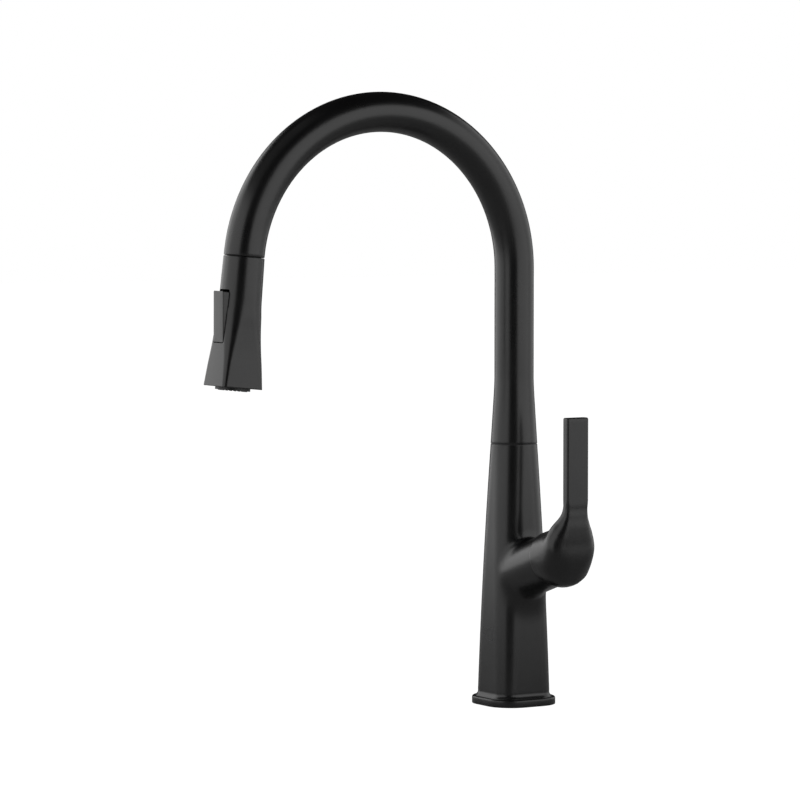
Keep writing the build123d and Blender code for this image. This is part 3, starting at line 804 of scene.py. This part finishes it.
def make_head_shell():
    """Hollow shell with rounded rims, a round bore at its top and a window for the button."""
    rows = smooth_rows(HEAD_ROWS, 1.0)
    top, low = rows[0], rows[-1]
    outer = [head_ring(*top, 0.5), head_ring(top[0] + 0.15, *top[1:], 0.15)]
    outer += [head_ring(max(s, 0.9), flat, corner) for s, flat, corner in rows[:-1]]
    outer += [
        head_ring(low[0] - 0.4, *low[1:]),
        head_ring(low[0] - 0.12, *low[1:], 0.12),
        head_ring(*low, 0.4),
    ]
    inner = [head_ring(*row, HEAD_WALL) for row in reversed(rows) if row[0] > HEAD_BORE_DEPTH]
    inner += [circle(HEAD_BORE_R * MM, s * MM, len(inner[0])) for s in (HEAD_BORE_DEPTH, top[0])]
    shell = loft_rings("wand_shell_skin", outer + inner, HEAD_FRAME, closed=True)
    cut(shell, slot_form("window", 0.35, BUTTON_TOP - 1.5, BUTTON_LOW + 0.4))
    soften(bevelled(shell, 0.18 * MM, 2, 50.0), 50.0)
    dress(shell, "wand", "matte_black")
    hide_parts("wand_shell")


def slot_form(name, margin, low, high):
    """Rounded slot's solid, standing out of the head's front."""
    rings = []
    outline = rounded_outline(BUTTON_WIDTH / 2 + margin, (high - low) / 2, BUTTON_CORNER + margin, 10)
    for depth in (6.0, 26.0):
        rings.append([(x * MM, depth * MM, (y + (low + high) / 2) * MM) for x, y in outline])
    return loft_rings(name, rings, HEAD_FRAME)


def button_ring(inset, depth, back=None):
    """Outline of the rocker pad, at a depth behind its sloping front or on its back."""
    low, high = BUTTON_TOP + inset, BUTTON_LOW - inset
    corner = max(BUTTON_CORNER - inset, 0.35)
    outline = rounded_outline(BUTTON_WIDTH / 2 - inset, (high - low) / 2, corner, 10)
    ring = []
    for x, y in outline:
        s = y + (low + high) / 2
        share = (s - BUTTON_TOP) / (BUTTON_LOW - BUTTON_TOP)
        front = BUTTON_FRONT_TOP + share * (BUTTON_FRONT_LOW - BUTTON_FRONT_TOP) - depth
        ring.append((x * MM, (front if back is None else back) * MM, s * MM))
    return ring


def make_button():
    """Slightly crowned rocker pad with rounded edges."""
    rings = [button_ring(0.0, 0.0, back=BUTTON_BACK), button_ring(0.0, BUTTON_CROWN + BUTTON_EDGE)]
    for step in range(1, 7):
        turn = pi / 2 * step / 6
        rings.append(button_ring(BUTTON_EDGE * (1 - cos(turn)), BUTTON_CROWN + BUTTON_EDGE * (1 - sin(turn))))
    for step in range(1, 6):
        share = step / 5
        rings.append(button_ring(BUTTON_EDGE + 4.6 * share, BUTTON_CROWN * (1 - share) ** 2))
    button = loft_rings("spray_button_skin", rings, HEAD_FRAME)
    dress(soften(button, 50.0), "button", "matte_black")
    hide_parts("spray_button")
    pin = Matrix.Translation((0, PIN_Y * MM, PIN_S * MM))
    across = HEAD_FRAME @ pin @ Matrix.Rotation(pi / 2, 4, "Y")
    eye_profile = [(r * MM, z * MM) for r, z in ((1.05, -6), (2.2, -6), (2.2, 6), (1.05, 6))]
    eye = turned("button_eye", eye_profile, across, 32)
    dress(soften(eye), "button", "black_plastic")
    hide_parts("spray_button")


make_head_shell()
make_button()


# ---- spray hose ----
HOSE_LOW = -70.0 * MM
HOSE_TAIL = 8.0 * MM
STRETCH_FROM = -28.0 * MM
HOSE_BORE_R = 4.0 * MM
HOSE_SEGMENTS = 32


def hose_piece(name, middles):
    """Stretch of hose through stations, each a centre and a direction across it; open at both ends."""
    across = Vector((1, 0, 0))
    outer = [ring_at(at, across, ahead, HOSE_R, HOSE_SEGMENTS) for at, ahead in middles]
    inner = [ring_at(at, across, ahead, HOSE_BORE_R, HOSE_SEGMENTS) for at, ahead in reversed(middles)]
    hose = loft_rings(name, outer + inner, closed=True)
    hose.data.materials.append(materials["braid"])
    soften(hose, 60.0)
    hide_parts("spray_hose")
    return hose


def make_hose():
    """Long run inside the riser and arch, and a finely divided end that pays out with the head."""
    fine = -STRETCH_FROM / ARCH_R
    run = [(Vector((0, 0, HOSE_LOW + (SPRING_Z - HOSE_LOW) * i / 40)), Vector((0, 1, 0))) for i in range(40)]
    run += [arch_station((ARCH_SWEEP - fine) * i / 110) for i in range(111)]
    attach(hose_piece("spray_hose_run", run), "spout")
    end = [arch_station(ARCH_SWEEP - fine + fine * i / 90) for i in range(90)]
    end += [(SPOUT_END + HEAD_AXIS * HOSE_TAIL * i / 6, HEAD_FRONT * -1) for i in range(7)]
    tail = hose_piece("spray_hose_end", end)
    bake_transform(tail)


make_hose()


# ---- plunger spring ----
def make_spring():
    """Wound spring behind the plunger, squeezed as the plunger goes in."""
    turns, wire, radius = 6.0, 0.24 * MM, 2.02 * MM
    low, high, along = -5.6 * MM, 0.28 * MM, 36.0 * MM
    rings = []
    for step in range(int(turns * 20) + 1):
        share = step / (turns * 20)
        turn = 2 * pi * turns * share
        out = Vector((cos(turn), 0, sin(turn)))
        middle = Vector((0, low + (high - low) * share, along)) + out * radius
        rings.append(ring_at(middle, out, Vector((0, 1, 0)), wire, 8))
    spring = loft_rings("plunger_spring_coil", rings, HEAD_FRAME)
    spring.data.materials.append(materials["steel"])
    soften(spring, 60.0)
    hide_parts("plunger_spring")
    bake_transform(spring)


make_spring()


# ---- threaded shank ----
THREAD_PITCH = 1.5 * MM
SHANK_R = 16.5 * MM
SHANK_BORE_R = 14.6 * MM
SHANK_END = -62.0 * MM
SHANK_TOP = 18.0 * MM
SHANK_PILOT_R = 16.1 * MM
THREAD_LOW = -52.0 * MM
THREAD_HIGH = -1.0 * MM
THREAD_DEPTH = 0.75 * MM


def thread_radius(z, turn):
    """Outside of the shank: a 60 degree thread that fades out at both of its ends."""
    fade = min(max((z - THREAD_LOW) / THREAD_PITCH, 0), max((THREAD_HIGH - z) / THREAD_PITCH, 0), 1)
    phase = (z / THREAD_PITCH - turn / (2 * pi)) % 1.0
    return SHANK_R - THREAD_DEPTH * fade * min(max(abs(phase - 0.5) * 2.6 - 0.15, 0), 1)


def make_shank():
    """Plain pilot end, thread and smooth neck outside, and a plain bore."""
    count = 72
    rings = [
        circle(SHANK_PILOT_R - 0.5 * MM, SHANK_END, count),
        circle(SHANK_PILOT_R, SHANK_END + 0.5 * MM, count),
        circle(SHANK_PILOT_R, THREAD_LOW, count),
    ]
    steps = int((THREAD_HIGH - THREAD_LOW) / THREAD_PITCH * 7)
    for step in range(steps + 1):
        z = THREAD_LOW + (THREAD_HIGH - THREAD_LOW) * step / steps
        ring = []
        for i in range(count):
            turn = 2 * pi * i / count
            radius = thread_radius(z, turn)
            ring.append((radius * cos(turn), radius * sin(turn), z))
        rings.append(ring)
    rings.append(circle(SHANK_R, SHANK_TOP, count))
    rings += [circle(SHANK_BORE_R, z, count) for z in (SHANK_TOP, SHANK_END)]
    shank = loft_rings("shank_skin", rings, closed=True)
    dress(soften(shank, 40.0), "base", "brass")
    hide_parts("shank")


make_shank()
